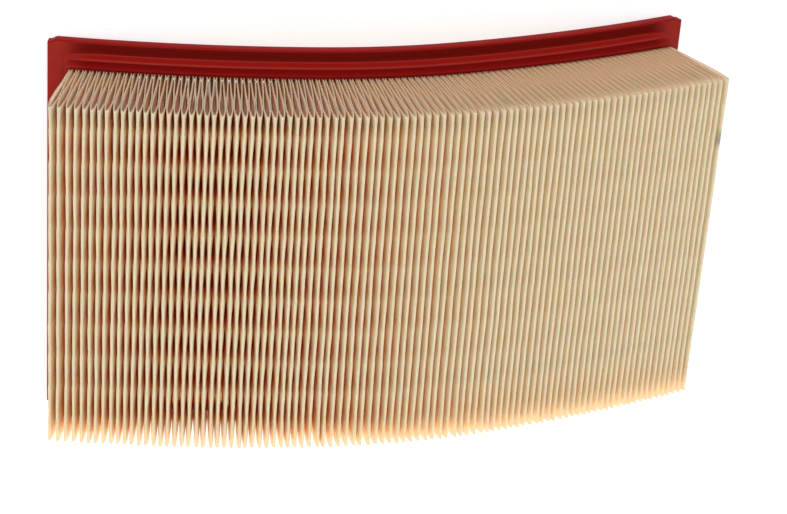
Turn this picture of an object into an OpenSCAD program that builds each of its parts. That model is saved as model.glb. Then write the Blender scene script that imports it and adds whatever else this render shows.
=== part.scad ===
// Pleated panel air filter: a folded paper pack in a moulded soft seal frame, bowed along its length.
// +X runs along the panel, +Y along the folds, +Z from the seal flange to the pleat tips.
// The origin is on the resting plane, under the middle of the panel.
// Lengths along the bow are written s, heights above the collar are written h.

/* [Pleated pack] */
// Number of pleats along the panel
pleat_count = 96; // [40:2:110]
// Distance between pleats where they leave the collar
pleat_pitch = 2.75; // [2.6:0.05:3.2]
// Height of the pleat tips above the collar
pleat_h = 38; // [30:1:50]
// Width of the paper, measured along the folds
paper_w = 149; // [100:1:180]
// Thickness of the paper wall
paper_t = 0.5; // [0.3:0.05:0.6]

/* [Bow] */
// Radius of the bow over the crown, at the collar
crown_r = 270; // [220:10:600]
// Length of the crown arc
crown_len = 60; // [20:5:100]
// Radius of the bow over the two shoulders, at the collar
shoulder_r = 550; // [400:10:900]

/* [Seal frame] */
// Height of the frame from its back face to the top of its collar
frame_d = 12; // [10:0.5:16]
// Width of the frame outside the paper, along its two long sides
frame_w = 9.5; // [8:0.5:14]
// Width of the frame outside the paper, at its two ends
end_w = 8.5; // [7:0.5:14]
// Thickness of the flange at its outer lip
lip_t = 5; // [4:0.5:6]
// Thickness of the flange at the foot of the collar
web_t = 3; // [2:0.5:3.5]
// Thickness of the collar below its shoulder, along the long sides
collar_t = 3.2; // [2.6:0.1:3.8]
// Thickness of the collar below its shoulder, at the two ends
end_collar_t = 2; // [1.6:0.1:3.8]
// Thickness of the thin cuff above the shoulder
cuff_t = 1.6; // [1.2:0.1:2]
// Depth of the shoulder below the top of the collar
shoulder_d = 5; // [3:0.5:6]

/* [Hot melt] */
// Width of each spacer thread along the folds
thread_w = 1.6; // [1:0.1:3]
// Place of the two outer threads, as a share of the paper width from the middle
thread_share = 0.31; // [0.2:0.01:0.4]
// Width of the glue that closes each pleat end
glue_w = 3; // [1:0.5:5]
// Depth of that glue inside the cut edge of the paper
glue_set = 1; // [0.5:0.1:2]

/* [Hidden] */

pack_half = (pleat_count - 1) * pleat_pitch / 2;      // s of the last pleat
window_half = pack_half + pleat_pitch / 2;            // s where the end walls of the frame begin
back_h = 1 - frame_d;                                 // h of the back folds, just inside the back face
fold_half = 0.3;                                      // half width of the flat on a fold
fold_wall = 1.5 * paper_t;                            // depth of paper through a fold
neck = 0.18 * pleat_pitch;                            // half width of a pleat at the collar
waist = 0.15 * pleat_pitch;                           // half width at its narrowest
waist_h = 0.37 * pleat_h;
belly = 0.31 * pleat_pitch;                           // half width at its widest
belly_h = 0.76 * pleat_h;
lip_r = 1.2;                                          // rounding of the outer lip
back_cut = 1;                                         // chamfer round the back face
soft_r = cuff_t / 2;                                  // rounding of the shoulder and the cuff
foot = 0.6;                                           // spread of the collar at its foot
notch = [5, 1.2];                                     // step in each flange corner, along X and Y
side_steps = 13;                                      // stations along half of a long side

// The bow is a crown arc with a shoulder arc on each side, tangent to it.
deg = 180 / PI;
crown_half = crown_len / 2;
crown_a = crown_half / crown_r * deg;
function bow_a(s) = abs(s) <= crown_half ? s / crown_r * deg
    : sign(s) * (crown_a + (abs(s) - crown_half) / shoulder_r * deg);
function bow_centre(s) = abs(s) <= crown_half ? [0, -crown_r]
    : [sign(s) * (crown_r - shoulder_r) * sin(crown_a),
       (crown_r - shoulder_r) * cos(crown_a) - crown_r];
function bow_r(s) = abs(s) <= crown_half ? crown_r : shoulder_r;
function bow(s, h) = bow_centre(s) + (bow_r(s) + h) * [sin(bow_a(s)), cos(bow_a(s))];

// Lift that puts the lowest edge of the frame, the back of each end, on z = 0.
lift = -bow(window_half + end_w - back_cut, -frame_d)[1];

// Points round a quarter of a circle or less.
function arc(c, r, a0, a1, steps) =
    [for (i = [0:steps]) let (a = a0 + (a1 - a0) * i / steps) c + r * [cos(a), sin(a)]];

// Section of the frame as [h, n], where n is the distance outwards from the paper:
// back face, rounded outer lip, sloping trough, the collar with its shoulder, and the cuff on it.
SECTION = concat(
    [[-frame_d, 0], [-frame_d, frame_w - back_cut], [back_cut - frame_d, frame_w]],
    arc([lip_t - frame_d - lip_r, frame_w - lip_r], lip_r, 90, 0, 3),
    [[web_t - frame_d, collar_t + foot]],
    arc([-shoulder_d - soft_r, collar_t - soft_r], soft_r, 90, 0, 3),
    [[soft_r - shoulder_d, cuff_t]],
    arc([-soft_r, cuff_t - soft_r], soft_r, 90, 0, 3),
    [[-0.5, 0]]);

// Stations round one quarter of the window. Each has its place on the window's edge as [s, y],
// the direction in which the collar leaves it, and the reach of the flange's outer edge from it.
corner = [window_half, paper_w / 2];
function turn(i) = [end_collar_t / collar_t * sin(18 * i), cos(18 * i)];
corner_reach = [[0, frame_w], [end_w - notch[0], frame_w],
                [end_w - notch[0] / 3, frame_w - notch[1]], [end_w, frame_w - notch[1]],
                [end_w, frame_w / 2], [end_w, 0]];
QUARTER = concat(
    [for (i = [0:side_steps - 1]) [[corner[0] * i / side_steps, corner[1]], [0, 1], [0, frame_w]]],
    [for (i = [0:5]) [corner, turn(i), corner_reach[i]]]);
q_last = len(QUARTER) - 1;
function flip(station, sx, sy) = [for (v = station) [sx * v[0], sy * v[1]]];
RING = concat(
    [for (i = [0:q_last]) QUARTER[i]],
    [for (i = [q_last:-1:1]) flip(QUARTER[i], 1, -1)],
    [for (i = [0:q_last]) flip(QUARTER[i], -1, -1)],
    [for (i = [q_last:-1:1]) flip(QUARTER[i], -1, 1)]);

// A section point at a station: round the collar it follows the turn, out at the lip the reach.
function on_frame(station, p) =
    let (n = p[1],
         out = max(0, min(1, (n - collar_t - foot) / (frame_w - 2 * lip_r - collar_t - foot))),
         at = station[0] + n * (1 - out) * station[1] + out * n / frame_w * station[2],
         b = bow(at[0], p[0]))
    [b[0], at[1], b[1] + lift];

module seal_frame() {
    m = len(SECTION);
    n = len(RING);
    points = [for (station = RING, p = SECTION) on_frame(station, p)];
    faces = [for (i = [0:n - 1], j = [0:m - 1])
        let (i2 = (i + 1) % n, j2 = (j + 1) % m)
        each [[i * m + j, i2 * m + j, i2 * m + j2], [i * m + j, i2 * m + j2, i * m + j2]]];
    color([0.62, 0.09, 0.07]) polyhedron(points, faces);
}

// One point of pleat i: d along the bow from the pleat's middle, h above the collar.
function pleat_s(i) = i * pleat_pitch - pack_half;
function on_pleat(i, d, h) =
    let (a = bow_a(pleat_s(i))) bow(pleat_s(i), h) + d * [cos(a), -sin(a)] + [0, lift];

// One point of the back fold between pleats i and i + 1, d along the bow from its middle.
function on_fold(i, d, h) = on_pleat(i + 0.5, d, h);

// Half widths of a pleat, from the collar to the belly, as [h, half width of the wall's middle].
WALL = [[0, neck], [waist_h, waist], [belly_h, belly]];
function up(i, side, grow) = [for (w = WALL) on_pleat(i, side * (w[1] + grow), w[0])];
function down(i, side, grow) = [for (k = [2:-1:0]) up(i, side, grow)[k]];

// The paper strip in section: its tip side from left to right, then its back side returning.
leg = window_half - pack_half - paper_t;
last = pleat_count - 1;
tip_side = concat(
    [on_pleat(0, -leg - paper_t, back_h)],
    [for (i = [0:last]) each concat(
        up(i, -1, paper_t / 2),
        [on_pleat(i, -fold_half, pleat_h), on_pleat(i, fold_half, pleat_h)],
        down(i, 1, paper_t / 2),
        i < last ? [on_fold(i, 0, back_h + fold_wall)] : [])],
    [on_pleat(last, leg + paper_t, back_h)]);
back_side = concat(
    [on_pleat(last, leg, back_h)],
    [for (i = [last:-1:0]) each concat(
        up(i, 1, -paper_t / 2),
        [on_pleat(i, 0, pleat_h - fold_wall)],
        down(i, -1, -paper_t / 2),
        i > 0 ? [on_fold(i - 1, fold_half, back_h), on_fold(i - 1, -fold_half, back_h)] : [])],
    [on_pleat(0, -leg, back_h)]);

// Draws an outline in X and Z and runs it along Y from y0 to y1.
module across(y0, y1) {
    translate([0, y1, 0]) rotate([90, 0, 0]) linear_extrude(y1 - y0) children();
}

module pleated_media() {
    color([0.89, 0.81, 0.64])
        across(-paper_w / 2, paper_w / 2) polygon(concat(tip_side, back_side));
}

// The hollow of pleat i between its two walls, from WALL point k up to the tip.
module pocket(i, k) {
    polygon(concat(
        [for (j = [k:2]) up(i, -1, -paper_t / 2)[j]],
        [on_pleat(i, 0, pleat_h - fold_wall)],
        [for (j = [2:-1:k]) up(i, 1, -paper_t / 2)[j]]));
}

// One hot-melt thread: a web in every pleat, between the waist and the tip.
module spacer_thread(y) {
    color([0.62, 0.64, 0.52])
        for (i = [0:last]) across(y - thread_w / 2, y + thread_w / 2) pocket(i, 1);
}

// The glue that closes every pleat just inside its cut edge, on the side given.
module end_glue(side) {
    y = side * (paper_w / 2 - glue_set - glue_w / 2);
    color([0.72, 0.52, 0.38])
        for (i = [0:last]) across(y - glue_w / 2, y + glue_w / 2) pocket(i, 0);
}

thread_y = thread_share * paper_w;

seal_frame();
pleated_media();
spacer_thread(-thread_y);  // spacer_thread_front
spacer_thread(0);  // spacer_thread_middle
spacer_thread(thread_y);  // spacer_thread_rear
end_glue(-1);  // end_glue_front
end_glue(1);  // end_glue_rear
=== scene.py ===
import math
import bmesh
import bpy
from mathutils import Matrix, Vector


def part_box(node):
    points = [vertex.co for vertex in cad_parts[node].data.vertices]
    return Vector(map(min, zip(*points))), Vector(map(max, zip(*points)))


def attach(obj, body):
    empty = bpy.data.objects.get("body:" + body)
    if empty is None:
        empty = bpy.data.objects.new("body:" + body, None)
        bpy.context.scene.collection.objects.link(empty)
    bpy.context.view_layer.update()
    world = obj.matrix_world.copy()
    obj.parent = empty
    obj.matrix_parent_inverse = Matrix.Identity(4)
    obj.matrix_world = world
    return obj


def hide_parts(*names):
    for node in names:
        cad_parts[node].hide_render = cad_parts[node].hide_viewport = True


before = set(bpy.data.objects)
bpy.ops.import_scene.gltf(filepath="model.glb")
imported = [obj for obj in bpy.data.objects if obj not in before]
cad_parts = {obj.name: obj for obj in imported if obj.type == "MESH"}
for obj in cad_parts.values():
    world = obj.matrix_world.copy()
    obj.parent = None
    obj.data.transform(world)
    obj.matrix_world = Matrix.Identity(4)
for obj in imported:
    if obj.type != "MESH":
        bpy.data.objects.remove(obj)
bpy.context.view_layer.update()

# --- Camera ------------------------------------------------------------------------------------
# The panel lies on its seal flange with its pleat tips up, and is seen from over the rear left
# corner, so that the cut ends of the pleats and the rear flange both show.
MM = 0.001
scene = bpy.context.scene
paper_low, paper_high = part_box("pleated_media")
aim = Vector((-0.8 * MM, 3.9 * MM, paper_high.z - 18 * MM))
sight = Vector((0.2605, -0.4526, -0.8565)).normalized()
camera_distance = 0.960
camera_roll = math.radians(4.35)

camera = bpy.data.objects.new("camera", bpy.data.cameras.new("camera"))
scene.collection.objects.link(camera)
level = sight.cross(Vector((0, 1, 0))).normalized()
right = Matrix.Rotation(-camera_roll, 3, sight) @ level
camera.matrix_world = Matrix((right, right.cross(sight), -sight)).transposed().to_4x4()
camera.location = aim - camera_distance * sight
camera.data.sensor_width = 36
camera.data.lens = 107.26
camera.data.clip_end = 20
scene.camera = camera


# --- Floor and light ---------------------------------------------------------------------------
# A plain white sweep of paper in a white room. One big soft light hangs over the pleats, and a
# second one low in front shines along the folds and glows through the front ends of the paper.
def new_material(name):
    material = bpy.data.materials.new(name)
    material.use_nodes = True
    return material, material.node_tree, material.node_tree.nodes["Principled BSDF"]


floor_mesh = bpy.data.meshes.new("floor")
floor_half = 3.0
floor_mesh.from_pydata([(-floor_half, -floor_half, 0), (floor_half, -floor_half, 0),
                        (floor_half, floor_half, 0), (-floor_half, floor_half, 0)], [], [(0, 1, 2, 3)])
floor = bpy.data.objects.new("floor", floor_mesh)
scene.collection.objects.link(floor)
floor_paint, _, floor_shader = new_material("floor_white")
floor_shader.inputs["Base Color"].default_value = (0.5, 0.5, 0.5, 1)
floor_shader.inputs["Emission Color"].default_value = (1, 1, 1, 1)
floor_shader.inputs["Emission Strength"].default_value = 0.62
floor_shader.inputs["Roughness"].default_value = 0.9
floor_mesh.materials.append(floor_paint)


def soft_light(name, place, target, size, watts):
    light = bpy.data.lights.new(name, "AREA")
    light.shape = "RECTANGLE"
    light.size, light.size_y = size
    light.energy = watts
    lamp = bpy.data.objects.new(name, light)
    scene.collection.objects.link(lamp)
    lamp.location = place
    lamp.rotation_euler = (Vector(target) - Vector(place)).to_track_quat("-Z", "Y").to_euler()


soft_light("light_over", (-0.45, 0.8, 1.4), (0, 0, 0.05), (1.3, 1.3), 10)
soft_light("light_front", (0.0, -1.2, 0.30), (0, 0, 0.05), (1.4, 0.5), 12)
world = bpy.data.worlds.new("white_room")
world.use_nodes = True
world.node_tree.nodes["Background"].inputs["Color"].default_value = (1, 1, 1, 1)
world.node_tree.nodes["Background"].inputs["Strength"].default_value = 0.72
scene.world = world
scene.view_settings.view_transform = "Standard"
# Light reaches the bottom of the deep, narrow pleats only after many bounces between their walls.
scene.cycles.max_bounces = 24
scene.cycles.diffuse_bounces = 16


# --- Pleated media -----------------------------------------------------------------------------
# One strip of resin-treated filter paper, 0.5 mm thick, folded into 96 pleats that stand on the
# bow like the pages of an open book. Ten rows of pressed spacer dimples cross every wall, and
# no two pleats stand quite alike.
pleat_count = 96
pleat_pitch = 2.75 * MM
paper_width = paper_high.y - paper_low.y
paper_wall = 0.5 * MM
pleat_height = 38 * MM
pleat_pinch = 0.0064         # share by which the collar draws the foot of the pack together
free_edge = 22 * MM          # length of each pleat that stands free at the front
collar_level = paper_high.z - pleat_height
crown_radius, crown_half, shoulder_radius = 270 * MM, 30 * MM, 550 * MM
dimple_rows = 10
dimple_pitch = 14.35 * MM
first_dimple = paper_high.y - 8.3 * MM


def link(tree, value, socket):
    """Feeds a socket from another socket, or sets it to a plain value."""
    if isinstance(value, bpy.types.NodeSocket):
        tree.links.new(value, socket)
    else:
        socket.default_value = value


def calc(tree, operation, *values, clamp=False):
    """A math node on the given values."""
    node = tree.nodes.new("ShaderNodeMath")
    node.operation = operation
    node.use_clamp = clamp
    for value, socket in zip(values, node.inputs):
        link(tree, value, socket)
    return node.outputs[0]


def combine(tree, x, y, z):
    node = tree.nodes.new("ShaderNodeCombineXYZ")
    for value, socket in zip((x, y, z), node.inputs):
        link(tree, value, socket)
    return node.outputs[0]


def split(tree, vector):
    node = tree.nodes.new("ShaderNodeSeparateXYZ")
    tree.links.new(vector, node.inputs[0])
    return node.outputs


def pick(tree, index, values):
    """The value at an index, from a short list."""
    node = tree.nodes.new("GeometryNodeIndexSwitch")
    node.data_type = "FLOAT"
    while len(node.index_switch_items) < len(values):
        node.index_switch_items.new()
    tree.links.new(index, node.inputs["Index"])
    for i, value in enumerate(values):
        link(tree, value, node.inputs[str(i)])
    return node.outputs[0]


def noise_field(tree, vector, scale, detail=1.0):
    """Smooth noise round zero, from -0.5 to 0.5."""
    node = tree.nodes.new("ShaderNodeTexNoise")
    tree.links.new(vector, node.inputs["Vector"])
    node.inputs["Scale"].default_value = scale
    node.inputs["Detail"].default_value = detail
    return calc(tree, "SUBTRACT", node.outputs[0], 0.5)


def new_group(name, inputs, outputs, tree_kind="GeometryNodeTree"):
    """An empty node group with named inputs, each with its kind and value, and named outputs."""
    tree = bpy.data.node_groups.new(name, tree_kind)
    for key, kind, value in inputs:
        item = tree.interface.new_socket(key, in_out="INPUT", socket_type=kind)
        if value is not None:
            item.default_value = value
    for key, kind in outputs:
        tree.interface.new_socket(key, in_out="OUTPUT", socket_type=kind)
    start = tree.nodes.new("NodeGroupInput")
    end = tree.nodes.new("NodeGroupOutput")
    return tree, start.outputs, end.inputs


def use_group(tree, group, **values):
    """A group placed in a tree, with values or sockets for its inputs."""
    node = tree.nodes.new("ShaderNodeGroup" if tree.type == "SHADER" else "GeometryNodeGroup")
    node.node_tree = group
    for key, value in values.items():
        link(tree, value, node.inputs[key.replace("_", " ")])
    return node.outputs


FLOAT, GEOMETRY = "NodeSocketFloat", "NodeSocketGeometry"

# The bow: a crown arc with a flatter shoulder arc on each side. Along is measured at collar level.
bow_group, bow_in, bow_out = new_group(
    "follow_the_bow",
    [("Along", FLOAT, 0), ("Sideways", FLOAT, 0), ("Height", FLOAT, 0),
     ("Crown Radius", FLOAT, crown_radius), ("Crown Half", FLOAT, crown_half),
     ("Shoulder Radius", FLOAT, shoulder_radius), ("Collar Level", FLOAT, collar_level)],
    [("X", FLOAT), ("Z", FLOAT), ("Angle", FLOAT)])


def fill_bow_group(t, i, o):
    reach = calc(t, "ABSOLUTE", i["Along"])
    side = calc(t, "SIGN", i["Along"])
    crown = calc(t, "DIVIDE", calc(t, "MINIMUM", reach, i["Crown Half"]), i["Crown Radius"])
    rest = calc(t, "MAXIMUM", calc(t, "SUBTRACT", reach, i["Crown Half"]), 0.0)
    full = calc(t, "ADD", crown, calc(t, "DIVIDE", rest, i["Shoulder Radius"]))
    turn = calc(t, "MULTIPLY", side, full)
    rise = calc(t, "SUBTRACT", i["Crown Radius"], i["Shoulder Radius"])
    x = calc(t, "ADD", calc(t, "MULTIPLY", rise, calc(t, "SINE", crown)),
             calc(t, "MULTIPLY", i["Shoulder Radius"], calc(t, "SINE", full)))
    z = calc(t, "ADD", calc(t, "MULTIPLY", rise, calc(t, "COSINE", crown)),
             calc(t, "MULTIPLY", i["Shoulder Radius"], calc(t, "COSINE", full)))
    x = calc(t, "MULTIPLY", side, x)
    z = calc(t, "SUBTRACT", calc(t, "ADD", z, i["Collar Level"]), i["Crown Radius"])
    sine, cosine = calc(t, "SINE", turn), calc(t, "COSINE", turn)
    x = calc(t, "ADD", x, calc(t, "MULTIPLY", i["Height"], sine))
    z = calc(t, "ADD", z, calc(t, "MULTIPLY", i["Height"], cosine))
    t.links.new(calc(t, "ADD", x, calc(t, "MULTIPLY", i["Sideways"], cosine)), o["X"])
    t.links.new(calc(t, "SUBTRACT", z, calc(t, "MULTIPLY", i["Sideways"], sine)), o["Z"])
    t.links.new(turn, o["Angle"])


fill_bow_group(bow_group, bow_in, bow_out)

# The sway: how far a pleat stands off its place. The lean is nothing at the collar and full at the
# tip. It changes from pleat to pleat, drifts slowly along the fold and is freest at the front edge.
# The first four pleats splay outwards, and the collar pinches the foot of the whole pack together.
sway_group, sway_in, sway_out = new_group(
    "pleat_sway",
    [("Pleat", FLOAT, 0), ("Across", FLOAT, 0), ("Height", FLOAT, 0), ("Lean", FLOAT, 1.5 * MM),
     ("Drift", FLOAT, 1.1 * MM), ("Splay", FLOAT, 1.3 * MM), ("Flare", FLOAT, 2.2 * MM),
     ("Pinch", FLOAT, pleat_pinch), ("Seed", FLOAT, 3.0)],
    [("Sway", FLOAT)])


def fill_sway_group(t, i, o):
    lone = combine(t, calc(t, "MULTIPLY", i["Pleat"], 7.31), i["Seed"], 0.0)
    lean = calc(t, "MULTIPLY", noise_field(t, lone, 1.0), i["Lean"])
    slow = combine(t, calc(t, "MULTIPLY", i["Pleat"], 0.37), calc(t, "MULTIPLY", i["Across"], 30.0),
                   i["Seed"])
    drift = calc(t, "MULTIPLY", noise_field(t, slow, 1.0, 2.0), i["Drift"])
    share = calc(t, "DIVIDE", i["Height"], pleat_height)
    share = calc(t, "MAXIMUM", calc(t, "MINIMUM", share, 1.0), 0.0)
    splay = calc(t, "MULTIPLY_ADD", i["Pleat"], -0.25, 1.0, clamp=True)
    lean = calc(t, "SUBTRACT", lean, calc(t, "MULTIPLY", splay, i["Splay"]))
    free = calc(t, "SUBTRACT", free_edge - paper_width / 2, i["Across"])
    free = calc(t, "DIVIDE", free, free_edge, clamp=True)
    loose = combine(t, calc(t, "MULTIPLY", i["Pleat"], 5.17), 9.0, i["Seed"])
    flare = calc(t, "MULTIPLY", calc(t, "MULTIPLY", noise_field(t, loose, 1.0), i["Flare"]),
                 calc(t, "MULTIPLY", free, free))
    sway = calc(t, "MULTIPLY", calc(t, "ADD", calc(t, "ADD", lean, drift), flare), share)
    along = calc(t, "MULTIPLY", calc(t, "SUBTRACT", i["Pleat"], (pleat_count - 1) / 2), pleat_pitch)
    pinch = calc(t, "MULTIPLY", calc(t, "MULTIPLY", along, i["Pinch"]), calc(t, "SUBTRACT", 1.0, share))
    t.links.new(calc(t, "SUBTRACT", sway, pinch), o["Sway"])


fill_sway_group(sway_group, sway_in, sway_out)

# One wall of a pleat from its tip to the back fold, in mm: height above the collar, half width of
# the pleat there, how far the paper draws in behind a dimple, and how far a dimple stands out.
wall_profile = [(37.75, 0.16, 0.02, 0.00), (37.10, 0.44, 0.18, 0.00), (34.50, 0.76, 0.38, 0.16),
                (30.00, 0.80, 0.36, 0.50), (22.00, 0.66, 0.16, 0.50), (13.00, 0.40, 0.03, 0.30),
                (1.00, 0.42, 0.00, 0.00), (-11.00, 1.375, 0.00, 0.00)]
wall_steps = 2 * len(wall_profile) - 1

# Rows of points along a fold, three to a dimple: on it, just in front of it, and well in front of it,
# with how far the paper draws in and stands out on each.
row_places, row_draws, row_bulges = (0.0, 0.14, 0.84), (0.8, 0.0, 1.0), (0.55, 1.0, 0.0)
row_count = 2 + 3 * dimple_rows
front_opening = 0.8          # how far the free front edge of a pleat opens out


def build_media_tree():
    tree, i, o = new_group(
        "fold_the_strip",
        [("Pleats", FLOAT, pleat_count), ("Pitch", FLOAT, pleat_pitch),
         ("Paper Width", FLOAT, paper_width), ("Dimple Pitch", FLOAT, dimple_pitch),
         ("First Dimple", FLOAT, first_dimple), ("Ragged", FLOAT, 1.6 * MM),
         ("Material", "NodeSocketMaterial", None)],
        [("Geometry", GEOMETRY)])
    grid = tree.nodes.new("GeometryNodeMeshGrid")
    columns = pleat_count * wall_steps
    for key, value in (("Size X", columns), ("Size Y", row_count - 1),
                       ("Vertices X", columns + 1), ("Vertices Y", row_count)):
        grid.inputs[key].default_value = value
    place = split(tree, tree.nodes.new("GeometryNodeInputPosition").outputs[0])
    column = calc(tree, "ROUND", calc(tree, "ADD", place["X"], columns / 2))
    row = calc(tree, "ROUND", calc(tree, "ADD", place["Y"], (row_count - 1) / 2))
    pleat = calc(tree, "FLOOR", calc(tree, "DIVIDE", calc(tree, "ADD", column, 0.25), wall_steps))
    phase = calc(tree, "SUBTRACT", column, calc(tree, "MULTIPLY", pleat, wall_steps))
    phase = calc(tree, "SUBTRACT", phase, wall_steps / 2)
    side = calc(tree, "SIGN", phase)
    index = calc(tree, "ROUND", calc(tree, "SUBTRACT", calc(tree, "ABSOLUTE", phase), 0.5))
    height, half, draw, bulge = (pick(tree, index, [value * MM for value in measure])
                                 for measure in zip(*wall_profile))

    # Rows run from the rear edge to the front edge and are clamped to the paper's width. The cut
    # edges are a little ragged, except at the folds.
    step = calc(tree, "ADD", row, 1.0)
    dimple = calc(tree, "FLOOR", calc(tree, "DIVIDE", calc(tree, "ADD", step, 0.25), 3.0))
    beat = calc(tree, "ROUND", calc(tree, "SUBTRACT", step, calc(tree, "MULTIPLY", dimple, 3.0)))
    cycle = calc(tree, "ADD", calc(tree, "SUBTRACT", dimple, 1.0), pick(tree, beat, row_places))
    across = calc(tree, "SUBTRACT", i["First Dimple"], calc(tree, "MULTIPLY", cycle, i["Dimple Pitch"]))
    edge = calc(tree, "DIVIDE", i["Paper Width"], 2.0)
    ragged = noise_field(tree, combine(tree, calc(tree, "MULTIPLY", pleat, 3.7), row, 2.0), 1.0)
    ragged = calc(tree, "MULTIPLY", calc(tree, "MULTIPLY", ragged, i["Ragged"]),
                  calc(tree, "DIVIDE", height, pleat_height, clamp=True))
    across = calc(tree, "MAXIMUM", calc(tree, "MINIMUM", across, calc(tree, "ADD", edge, ragged)),
                  calc(tree, "SUBTRACT", ragged, edge))
    at_front = calc(tree, "GREATER_THAN", row, row_count - 1.5)
    row_draw = calc(tree, "MULTIPLY_ADD", at_front, -front_opening, pick(tree, beat, row_draws))
    draw = calc(tree, "MULTIPLY", draw, row_draw)
    bulge = calc(tree, "MULTIPLY", bulge, pick(tree, beat, row_bulges))
    half = calc(tree, "SUBTRACT", calc(tree, "ADD", half, bulge), draw)

    middle = calc(tree, "SUBTRACT", pleat, (pleat_count - 1) / 2)
    along = calc(tree, "MULTIPLY", middle, i["Pitch"])
    sway = use_group(tree, sway_group, Pleat=pleat, Across=across, Height=height)["Sway"]
    sideways = calc(tree, "ADD", calc(tree, "MULTIPLY", side, half), sway)
    bow = use_group(tree, bow_group, Along=along, Sideways=sideways, Height=height)

    # The depth is stored first, because it is worked out from the flat grid. The two open walls at
    # the ends of the pack face no valley, so it stays 0 on them.
    last_inner = (columns - wall_steps) / 2 + 0.5
    in_valley = calc(tree, "LESS_THAN", calc(tree, "ABSOLUTE", place["X"]), last_inner)
    store = tree.nodes.new("GeometryNodeStoreNamedAttribute")
    store.data_type, store.domain = "FLOAT", "POINT"
    store.inputs["Name"].default_value = "depth"
    tree.links.new(grid.outputs["Mesh"], store.inputs["Geometry"])
    depth = calc(tree, "DIVIDE", calc(tree, "SUBTRACT", pleat_height, height), pleat_height)
    link(tree, calc(tree, "MULTIPLY", depth, in_valley), store.inputs["Value"])
    move = tree.nodes.new("GeometryNodeSetPosition")
    tree.links.new(store.outputs[0], move.inputs["Geometry"])
    tree.links.new(combine(tree, bow["X"], across, bow["Z"]), move.inputs["Position"])
    finish_tree(tree, move.outputs[0], i, o)
    return tree


def finish_tree(tree, geometry, i, o):
    """Realize Instances, smooth shading and Set Material, as the last nodes of a tree."""
    realize = tree.nodes.new("GeometryNodeRealizeInstances")
    smooth = tree.nodes.new("GeometryNodeSetShadeSmooth")
    paint = tree.nodes.new("GeometryNodeSetMaterial")
    tree.links.new(geometry, realize.inputs[0])
    tree.links.new(realize.outputs[0], smooth.inputs[0])
    tree.links.new(smooth.outputs[0], paint.inputs["Geometry"])
    tree.links.new(i["Material"], paint.inputs["Material"])
    tree.links.new(paint.outputs[0], o["Geometry"])


def grown(name, tree, material, solid=None):
    """Runs a tree on an empty mesh and returns the result as a plain mesh object."""
    carrier = bpy.data.objects.new(name, bpy.data.meshes.new(name))
    scene.collection.objects.link(carrier)
    modifier = carrier.modifiers.new("grow", "NODES")
    modifier.node_group = tree
    for item in tree.interface.items_tree:
        if item.in_out == "INPUT" and item.socket_type == "NodeSocketMaterial":
            modifier[item.identifier] = material
    if solid:
        wall = carrier.modifiers.new("wall", "SOLIDIFY")
        wall.thickness, wall.offset = solid, 0
        wall.use_even_offset = True
        wall.thickness_clamp = 0
    bpy.context.view_layer.update()
    deps = bpy.context.evaluated_depsgraph_get()
    mesh = bpy.data.meshes.new_from_object(carrier.evaluated_get(deps), preserve_all_data_layers=True,
                                           depsgraph=deps)
    carrier.modifiers.clear()
    carrier.data = mesh
    mesh.name = name
    return carrier


def mix_colour(tree, share, low, high):
    node = tree.nodes.new("ShaderNodeMix")
    node.data_type = "RGBA"
    colours = [socket for socket in node.inputs if socket.type == "RGBA"]
    link(tree, share, node.inputs[0])
    link(tree, low, colours[0])
    link(tree, high, colours[1])
    return [socket for socket in node.outputs if socket.type == "RGBA"][0]


def band(tree, value, centre, half_width, soft):
    """1 inside a band round a centre, falling to 0 over the soft width on each side."""
    away = calc(tree, "ABSOLUTE", calc(tree, "SUBTRACT", value, centre))
    return calc(tree, "DIVIDE", calc(tree, "SUBTRACT", half_width + soft, away), soft, clamp=True)


def object_place(tree):
    return tree.nodes.new("ShaderNodeTexCoord").outputs["Object"]


def bump(tree, shader, height, distance, strength):
    node = tree.nodes.new("ShaderNodeBump")
    node.inputs["Distance"].default_value = distance
    node.inputs["Strength"].default_value = strength
    tree.links.new(height, node.inputs["Height"])
    tree.links.new(node.outputs[0], shader.inputs["Normal"])


# Grain: two scales of soft mottle, which paper, moulded skin and set glue all have.
grain, grain_in, grain_out = new_group(
    "grain", [("Place", "NodeSocketVector", None), ("Coarse", FLOAT, 200.0), ("Fine", FLOAT, 2000.0),
              ("Stretch", FLOAT, 1.0)],
    [("Mottle", FLOAT), ("Tooth", FLOAT)], tree_kind="ShaderNodeTree")


def fill_grain(t, i, o):
    axes = split(t, i["Place"])
    drawn = combine(t, axes["X"], calc(t, "MULTIPLY", axes["Y"], i["Stretch"]), axes["Z"])
    for scale, socket, detail in ((i["Coarse"], o["Mottle"], 2.0), (i["Fine"], o["Tooth"], 3.0)):
        node = t.nodes.new("ShaderNodeTexNoise")
        t.links.new(drawn, node.inputs["Vector"])
        t.links.new(scale, node.inputs["Scale"])
        node.inputs["Detail"].default_value = detail
        t.links.new(node.outputs[0], socket)


fill_grain(grain, grain_in, grain_out)

# The spacer threads show faintly through the paper, and the last pleat carries a smudge of one.
thread_lines = [share * paper_width for share in (-0.31, 0.0, 0.31)]
paper_cream = (0.74, 0.64, 0.46, 1)
paper_fibre = (0.72, 0.60, 0.41, 1)
# Painted bounce light: a warmer tan on the walls below the tips.
painted_wall_bounce = (0.94, 0.69, 0.37, 1)
# Painted glow at the front edge, where light passes through the paper.
painted_front_glow = (0.86, 0.55, 0.27, 1)
# Painted shade deep in the valleys.
painted_valley_shade = (1.0, 0.33, 0.09, 1)
# Painted light in the valleys near the front edge.
painted_front_light = (1.0, 0.52, 0.18, 1)
# Glue stain and painted shade along the rear edge.
paper_glue_stain_and_shade = (0.46, 0.27, 0.14, 1)
paper_thread = (0.60, 0.60, 0.42, 1)
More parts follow.
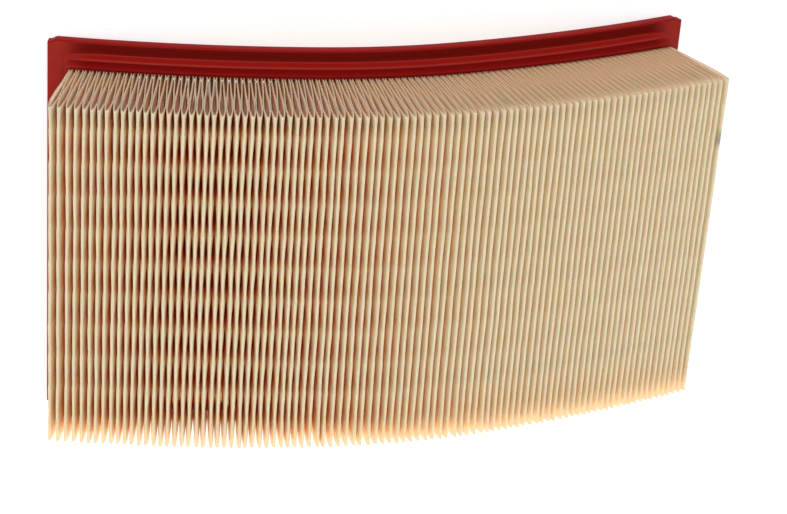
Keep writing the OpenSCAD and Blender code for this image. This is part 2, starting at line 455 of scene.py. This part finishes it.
# Painted shade on the cut ends of the paper.
painted_cut_shade = (0.44, 0.36, 0.26, 1)
paper_smudge = (0.10, 0.11, 0.09, 1)
painted_light_reach = 26 * MM        # how far in from the front edge the painted glow and light reach between the pleats
painted_shade_reach = 14 * MM        # distance in from a cut edge where the painted valley shade reaches its full strength
rear_stain_shade_reach, rear_stain_shade_fade = 7 * MM, 5 * MM        # glue stain and painted shade on the walls along the rear edge


def paper_material():
    material, tree, shader = new_material("filter_paper")
    place = object_place(tree)
    axes = split(tree, place)
    marks = use_group(tree, grain, Place=place, Coarse=260.0, Fine=2600.0, Stretch=0.25)
    depth = tree.nodes.new("ShaderNodeAttribute")
    depth.attribute_name = "depth"
    colour = mix_colour(tree, calc(tree, "MULTIPLY_ADD", marks["Mottle"], 1.6, -0.5, clamp=True),
                        paper_cream, paper_fibre)
    for line in thread_lines:
        across = band(tree, axes["Y"], line, 0.5 * MM, 1.6 * MM)
        worn = calc(tree, "MULTIPLY", across, calc(tree, "MULTIPLY", marks["Mottle"], 0.45))
        colour = mix_colour(tree, worn, colour, paper_thread)
    smudge = calc(tree, "MULTIPLY", band(tree, axes["X"], paper_high.x, 1.2 * MM, 1.0 * MM),
                  band(tree, axes["Y"], thread_lines[2] + 1.5 * MM, 1.5 * MM, 3.5 * MM))
    smudge = calc(tree, "MULTIPLY", smudge, calc(tree, "MULTIPLY_ADD", marks["Mottle"], 1.6, -0.3,
                                                 clamp=True))
    colour = mix_colour(tree, smudge, colour, paper_smudge)
    # Painted bounce light: below their tips the walls take a warmer tan, which stands in for light
    # bounced between them and passed through the paper.
    wall = calc(tree, "MULTIPLY_ADD", depth.outputs["Fac"], 12.0, -0.15, clamp=True)
    colour = mix_colour(tree, calc(tree, "MULTIPLY", wall, 0.6), colour, painted_wall_bounce)
    near_front = calc(tree, "SUBTRACT", painted_light_reach - paper_width / 2, axes["Y"])
    near_front = calc(tree, "DIVIDE", near_front, painted_light_reach, clamp=True)
    # Painted glow: towards the front edge the paper takes a warmer orange, as if the light in front
    # shone through it.
    colour = mix_colour(tree, calc(tree, "MULTIPLY", near_front, 0.5), colour, painted_front_glow)
    # Painted light: in the valleys near the front edge the paper takes a bright orange, which stands in
    # for light coming in between the pleats from the front.
    painted_light_mask = calc(tree, "MULTIPLY_ADD", depth.outputs["Fac"], 3.0, -0.15, clamp=True)
    # The mask leaves out the back folds, which show their plain paper on the back of the filter.
    valley = calc(tree, "MULTIPLY_ADD", depth.outputs["Fac"], -8.0, 10.0, clamp=True)
    painted_light_mask = calc(tree, "MULTIPLY", calc(tree, "POWER", near_front, 0.5), painted_light_mask)
    painted_light_mask = calc(tree, "MULTIPLY", painted_light_mask, valley)
    colour = mix_colour(tree, calc(tree, "MULTIPLY", painted_light_mask, 0.6), colour, painted_front_light)
    # Painted shade: deep in the valleys the paper turns a dark orange, less so near the cut edges and
    # the front edge.
    valley_shade_mask = calc(tree, "MULTIPLY_ADD", depth.outputs["Fac"], 3.2, -0.25, clamp=True)
    inside = calc(tree, "SUBTRACT", paper_width / 2, calc(tree, "ABSOLUTE", axes["Y"]))
    inside = calc(tree, "DIVIDE", inside, painted_shade_reach, clamp=True)
    valley_shade_mask = calc(tree, "MULTIPLY", valley_shade_mask, calc(tree, "MULTIPLY_ADD", inside, 0.7, 0.3))
    valley_shade_mask = calc(tree, "MULTIPLY", valley_shade_mask, calc(tree, "MULTIPLY_ADD", near_front, -0.8, 1.0))
    colour = mix_colour(tree, calc(tree, "MULTIPLY", valley_shade_mask, valley), colour, painted_valley_shade)
    # Glue stain and painted shade: towards the rear edge the walls below the tips darken to brown,
    # where glue soaks the paper and less light comes in between the pleats.
    rear_stain_shade_mask = calc(tree, "SUBTRACT", axes["Y"], paper_width / 2 - rear_stain_shade_reach)
    rear_stain_shade_mask = calc(tree, "DIVIDE", rear_stain_shade_mask, rear_stain_shade_fade, clamp=True)
    low = calc(tree, "MULTIPLY_ADD", depth.outputs["Fac"], 9.0, -0.1, clamp=True)
    rear_stain_shade_mask = calc(tree, "MULTIPLY", calc(tree, "MULTIPLY", rear_stain_shade_mask, low), 0.75)
    colour = mix_colour(tree, rear_stain_shade_mask, colour, paper_glue_stain_and_shade)
    # Painted shade: the cut ends, faces turned to the front or the rear, take a darker brown.
    facing = split(tree, tree.nodes.new("ShaderNodeNewGeometry").outputs["True Normal"])
    cut = calc(tree, "GREATER_THAN", calc(tree, "ABSOLUTE", facing["Y"]), 0.75)
    colour = mix_colour(tree, cut, colour, painted_cut_shade)
    tree.links.new(colour, shader.inputs["Base Color"])
    shader.inputs["Roughness"].default_value = 0.8
    shader.inputs["Specular IOR Level"].default_value = 0.25
    shader.inputs["Subsurface Weight"].default_value = 0.85
    shader.inputs["Subsurface Scale"].default_value = 0.5 * MM
    shader.inputs["Subsurface Radius"].default_value = (2.4, 1.2, 0.5)
    bump(tree, shader, marks["Tooth"], 0.1 * MM, 0.5)
    return material


media = grown("pleated_paper", build_media_tree(), paper_material(), solid=paper_wall)
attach(media, "root")
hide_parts("pleated_media")


# --- Seal frame --------------------------------------------------------------------------------
# One piece of soft red polyurethane, cast in an open mould round the edge of the paper pack. It
# has a flat back, a narrow lip round the outside, a trough, and a bead and a cuff that grip the
# pleats.
_, frame_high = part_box("seal_frame")
pack_end = pleat_count * pleat_pitch / 2
window_half = pack_end * (1 - pleat_pinch)
side_width = frame_high.y - paper_width / 2
end_flange = 8.5 * MM
end_width = pack_end + end_flange - window_half
end_collar_share = 0.62      # thickness of the collar at the two ends, as a share of that at the sides
side_steps, corner_turns, end_steps = 30, 9, 10
corner_notch = (3.6 * MM, 1.2 * MM)
collar_reach, lip_reach = 3.9 * MM, 7.4 * MM
lip_level, top_side = -7.0, -10.0             # heights over the collar, in mm
trough_from, trough_to = 2.9, 8.7             # distances out from the paper, in mm
trough_run, end_trough = 8 * MM, 0.1          # where the trough fades, and what is left at the ends
# Distance over which the painted bands fade out towards the ends of the window.
painted_band_run = 10 * MM


def on_bow(along, height):
    """X and Z of a point at a height over the bow, along it from the crown."""
    reach = min(abs(along), crown_half)
    crown = reach / crown_radius
    full = crown + (abs(along) - reach) / shoulder_radius
    rise = crown_radius - shoulder_radius
    x = rise * math.sin(crown) + (shoulder_radius + height) * math.sin(full)
    z = rise * math.cos(crown) + (shoulder_radius + height) * math.cos(full)
    return math.copysign(x, along), z - crown_radius + collar_level


def rounded(centre, radius, start, end, steps):
    """Points of an arc, in mm, from one angle to another."""
    for k in range(steps + 1):
        angle = math.radians(start + (end - start) * k / steps)
        yield centre[0] + radius * math.cos(angle), centre[1] + radius * math.sin(angle)


# Section as (distance out from the paper, height over the collar), in mm: round the back, the lip
# and the trough, over the bead, up the thin cuff that hugs the pleats, and back under the paper.
frame_section = [(-1.6, -6.0), (-1.6, -11.5), (-1.1, -12.0), (4.5, -12.0)]
frame_section += rounded((8.7, -11.2), 0.8, 270, 360, 4)
frame_section += rounded((8.85, -7.65), 0.65, 0, 90, 5)
frame_section += [(8.4, -7.15), (7.4, -7.6), (6.4, -8.05), (5.2, -8.6), (4.6, -8.85)]
frame_section += rounded((3.8, -8.3), 0.6, 270, 210, 3)
frame_section += [(2.95, -7.95)]
frame_section += rounded((2.0, -7.1), 0.65, 15, 85, 4)
frame_section += [(1.88, -6.4), (1.75, -6.1), (1.67, -5.5), (1.63, -3.6), (1.6, -1.8)]
frame_section += rounded((1.0, -0.65), 0.6, 10, 120, 5)
frame_section += [(0.35, -0.5), (0.0, -0.9), (-0.5, -1.2), (-1.5, -1.6)]


def frame_stations():
    """Round the window: place (along, across), way out for the collar, way in, reach of the lip."""
    quarter = []
    for k in range(side_steps):
        quarter.append(((window_half * k / side_steps, paper_high.y), (0, 1), (0, 1), (0, side_width)))
    e, w, (nx, ny) = end_width, side_width, corner_notch
    reaches = [(0, w), ((e - nx) / 2, w), (e - nx, w), (e - nx * 0.78, w - ny * 0.2),
               (e - nx * 0.38, w - ny * 0.94), (e - 0.05 * MM, w - ny), (e, w - ny - 0.05 * MM),
               (e, w * 0.5), (e, w * 0.2), (e, 0)]
    for k in range(corner_turns + 1):
        angle = math.pi / 2 * k / corner_turns
        way = (end_collar_share * math.sin(angle), math.cos(angle))
        quarter.append(((window_half, paper_high.y), way, (1, 1), reaches[k]))
    for k in range(1, end_steps + 1):
        place = (window_half, paper_high.y * (1 - k / end_steps))
        quarter.append((place, (end_collar_share, 0), (1, 0), (e, 0)))

    def flipped(station, sx, sy):
        return tuple((sx * x, sy * y) for x, y in station)

    ring = list(quarter)
    ring += [flipped(s, 1, -1) for s in reversed(quarter[1:-1])]
    ring += [flipped(s, -1, -1) for s in quarter]
    ring += [flipped(s, -1, 1) for s in reversed(quarter[1:-1])]
    return ring


def build_frame():
    corners, shade, size = [], [], len(frame_section)
    ring = frame_stations()
    for (along, across), way_out, way_in, reach in ring:
        inner = min(max((window_half - abs(along)) / trough_run, 0), 1)
        trough_share = end_trough + (1 - end_trough) * inner * inner * (3 - 2 * inner)
        for out, height in frame_section:
            if trough_from < out < trough_to and height > top_side:
                height = lip_level + (height - lip_level) * trough_share
            out, height = out * MM, height * MM
            blend = min(max((out - collar_reach) / (lip_reach - collar_reach), 0), 1)
            way = way_in if out < 0 else way_out
            step_x = out * ((1 - blend) * way[0] + blend * reach[0] / side_width)
            step_y = out * ((1 - blend) * way[1] + blend * reach[1] / side_width)
            x, z = on_bow(along + step_x, height)
            corners.append((x, across + step_y, z))
            shade.append(out / side_width)
    faces = []
    for i in range(len(ring)):
        for j in range(size):
            i2, j2 = (i + 1) % len(ring), (j + 1) % size
            faces.append((i * size + j, i * size + j2, i2 * size + j2, i2 * size + j))
    mesh = bpy.data.meshes.new("moulded_frame")
    mesh.from_pydata(corners, [], faces)
    out_share = mesh.attributes.new("out_share", "FLOAT", "POINT")
    out_share.data.foreach_set("value", shade)
    shell = bmesh.new()
    shell.from_mesh(mesh)
    bmesh.ops.remove_doubles(shell, verts=shell.verts, dist=0.001 * MM)
    bmesh.ops.recalc_face_normals(shell, faces=shell.faces)
    for face in shell.faces:
        face.smooth = True
    shell.to_mesh(mesh)
    shell.free()
    return mesh


pu_red = (0.30, 0.019, 0.014, 1)
pu_pale = (0.33, 0.026, 0.020, 1)
# Painted shade in the trough, on the bead and in the cove, and a painted highlight on the ridges.
pu_trough_shade = (0.18, 0.008, 0.005, 1)
pu_bead_shade = (0.34, 0.011, 0.007, 1)
pu_cove_shade = (0.20, 0.004, 0.003, 1)
pu_painted_sheen = (0.32, 0.032, 0.027, 1)
# Painted shade on the rim of the lip.
pu_rim_shade = (0.26, 0.003, 0.002, 1)

# Bands across the section, as shares of its width: middle, half width, softness, weight and tint.
# They are painted shade in the trough, on the bead and in the cove over its shoulder, and a
# painted highlight on its two ridges.
pu_painted_bands = [(0.675, 0.26, 0.03, 1.0, pu_trough_shade), (0.30, 0.09, 0.03, 1.0, pu_bead_shade),
            (0.12, 0.075, 0.03, 1.0, pu_cove_shade), (0.218, 0.018, 0.02, 0.9, pu_painted_sheen),
            (0.395, 0.010, 0.015, 0.8, pu_painted_sheen)]


def pu_material():
    material, tree, shader = new_material("seal_pu")
    place = object_place(tree)
    axes = split(tree, place)
    marks = use_group(tree, grain, Place=place, Coarse=90.0, Fine=1500.0, Stretch=1.0)
    colour = mix_colour(tree, calc(tree, "MULTIPLY_ADD", marks["Mottle"], 1.5, -0.5, clamp=True),
                        pu_red, pu_pale)
    share = tree.nodes.new("ShaderNodeAttribute")
    share.attribute_name = "out_share"
    out = share.outputs["Fac"]
    # The painted shade and highlight bands fade out towards the ends of the window.
    inner = calc(tree, "SUBTRACT", window_half, calc(tree, "ABSOLUTE", axes["X"]))
    inner = calc(tree, "DIVIDE", inner, painted_band_run, clamp=True)
    for middle, half, soft, weight, tint in pu_painted_bands:
        mask = calc(tree, "MULTIPLY", band(tree, out, middle, half, soft), weight)
        colour = mix_colour(tree, calc(tree, "MULTIPLY", mask, inner), colour, tint)
    # Painted shade: the rim of the lip, over the last few hundredths of the width, takes a darker,
    # deeper red.
    rim_shade = calc(tree, "MULTIPLY_ADD", out, 30.0, -28.3, clamp=True)
    colour = mix_colour(tree, rim_shade, colour, pu_rim_shade)
    tree.links.new(colour, shader.inputs["Base Color"])
    tree.links.new(calc(tree, "MULTIPLY_ADD", marks["Mottle"], 0.2, 0.4), shader.inputs["Roughness"])
    shader.inputs["Specular IOR Level"].default_value = 0.04
    bump(tree, shader, marks["Tooth"], 0.08 * MM, 0.35)
    return material


seal = bpy.data.objects.new("moulded_seal_frame", build_frame())
scene.collection.objects.link(seal)
seal.data.materials.append(pu_material())
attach(seal, "root")
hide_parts("seal_frame")


# --- Glue in the pleat ends --------------------------------------------------------------------
# A bead of hot melt laid along each cut edge of the paper before it is folded. Folding squeezes it
# into a flat dab inside every pleat, a little way in from the edge, with a hollow face.
glue_sides = {"front": -1, "rear": 1}
glue_set, glue_length = 1.0 * MM, 3.0 * MM
nose_share = 0.55            # thickness of a blade where its end begins
glue_outline = [(0.10, 1.0), (0.09, 14.0), (0.30, 22.0), (0.56, 29.0), (0.42, 33.5), (0.30, 36.2)]


def blade(name, outline, length, hollow):
    """A thin lens-shaped prism in the pleat's own frame: X across the walls, Z up, run along Y."""
    loop = [(x * MM, z * MM) for x, z in outline]
    loop += [(-x * MM, z * MM) for x, z in reversed(outline)]
    rings = [(-length / 2 + hollow, nose_share), (-length / 2, 1.0), (length / 2, 1.0),
             (length / 2 - hollow, nose_share)]
    corners = [(x * share, y, z) for y, share in rings for x, z in loop]
    size = len(loop)
    faces = [tuple(range(size)), tuple(reversed(range(3 * size, 4 * size)))]
    for ring in range(3):
        for k in range(size):
            k2 = (k + 1) % size
            base = ring * size
            faces.append((base + k, base + size + k, base + size + k2, base + k2))
    mesh = bpy.data.meshes.new(name)
    mesh.from_pydata(corners, [], faces)
    return mesh


def build_dab_tree(name, prototype, across, seed):
    """One copy of a blade in every pleat, leaning with it, each a little different."""
    tree, i, o = new_group(
        name, [("Pleats", FLOAT, pleat_count), ("Pitch", FLOAT, pleat_pitch),
               ("Across", FLOAT, across), ("Material", "NodeSocketMaterial", None)],
        [("Geometry", GEOMETRY)])
    line = tree.nodes.new("GeometryNodeMeshLine")
    line.inputs["Count"].default_value = pleat_count
    index = tree.nodes.new("GeometryNodeInputIndex").outputs[0]
    half = calc(tree, "DIVIDE", calc(tree, "SUBTRACT", i["Pleats"], 1.0), 2.0)
    middle = calc(tree, "SUBTRACT", index, half)
    along = calc(tree, "MULTIPLY", middle, i["Pitch"])
    foot = use_group(tree, sway_group, Pleat=index, Across=i["Across"], Height=0.0)["Sway"]
    bow = use_group(tree, bow_group, Along=along, Sideways=foot, Height=0.0)
    move = tree.nodes.new("GeometryNodeSetPosition")
    tree.links.new(line.outputs[0], move.inputs["Geometry"])
    tree.links.new(combine(tree, bow["X"], i["Across"], bow["Z"]), move.inputs["Position"])
    top = use_group(tree, sway_group, Pleat=index, Across=i["Across"], Height=pleat_height)["Sway"]
    turn = calc(tree, "ADD", bow["Angle"], calc(tree, "DIVIDE", calc(tree, "SUBTRACT", top, foot),
                                                pleat_height))
    source = tree.nodes.new("GeometryNodeObjectInfo")
    source.inputs["Object"].default_value = prototype
    chance = tree.nodes.new("FunctionNodeRandomValue")
    chance.data_type = "FLOAT"
    chance.inputs[2].default_value, chance.inputs[3].default_value = 0.85, 1.0
    chance.inputs["Seed"].default_value = seed
    copies = tree.nodes.new("GeometryNodeInstanceOnPoints")
    tree.links.new(move.outputs[0], copies.inputs["Points"])
    tree.links.new(source.outputs["Geometry"], copies.inputs["Instance"])
    tree.links.new(combine(tree, 0.0, turn, 0.0), copies.inputs["Rotation"])
    tree.links.new(combine(tree, chance.outputs[1], chance.outputs[1], 1.0), copies.inputs["Scale"])
    finish_tree(tree, copies.outputs[0], i, o)
    return tree


def melt_material(name, low, high):
    material, tree, shader = new_material(name)
    marks = use_group(tree, grain, Place=object_place(tree), Coarse=400.0, Fine=3000.0, Stretch=1.0)
    tree.links.new(mix_colour(tree, marks["Mottle"], low, high), shader.inputs["Base Color"])
    tree.links.new(calc(tree, "MULTIPLY_ADD", marks["Tooth"], 0.3, 0.3), shader.inputs["Roughness"])
    shader.inputs["Subsurface Weight"].default_value = 0.3
    shader.inputs["Subsurface Scale"].default_value = 1.0 * MM
    bump(tree, shader, marks["Tooth"], 0.1 * MM, 0.4)
    return material


def lay_melt(name, node, outline, length, hollow, across, material, seed):
    prototype = bpy.data.objects.new(name + "_one", blade(name + "_one", outline, length, hollow))
    scene.collection.objects.link(prototype)
    piece = grown(name, build_dab_tree(name + "_laid", prototype, across, seed), material)
    bpy.data.objects.remove(prototype)
    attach(piece, "root")
    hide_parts(node)


glue_paint = melt_material("end_melt", (0.30, 0.085, 0.04, 1), (0.46, 0.17, 0.09, 1))
for place, side in glue_sides.items():
    lay_melt("glue_dabs_" + place, "end_glue_" + place, glue_outline, glue_length,
             0.5 * MM, side * (paper_width / 2 - glue_set - glue_length / 2), glue_paint, 11 + side)


# --- Spacer threads ----------------------------------------------------------------------------
# Three lines of grey-green hot melt laid along the strip before it is folded. In each pleat a line
# becomes a thin web between the two walls, which keeps them apart.
thread_outline = [(0.12, 14.5), (0.30, 22.0), (0.56, 29.0), (0.42, 33.5), (0.30, 36.2)]
thread_width = 1.6 * MM
thread_paint = melt_material("spacer_melt", (0.30, 0.31, 0.22, 1), (0.44, 0.45, 0.34, 1))
for place, line in zip(("front", "middle", "rear"), thread_lines):
    lay_melt("melt_webs_" + place, "spacer_thread_" + place, thread_outline,
             thread_width, -0.2 * MM, line, thread_paint, 21)
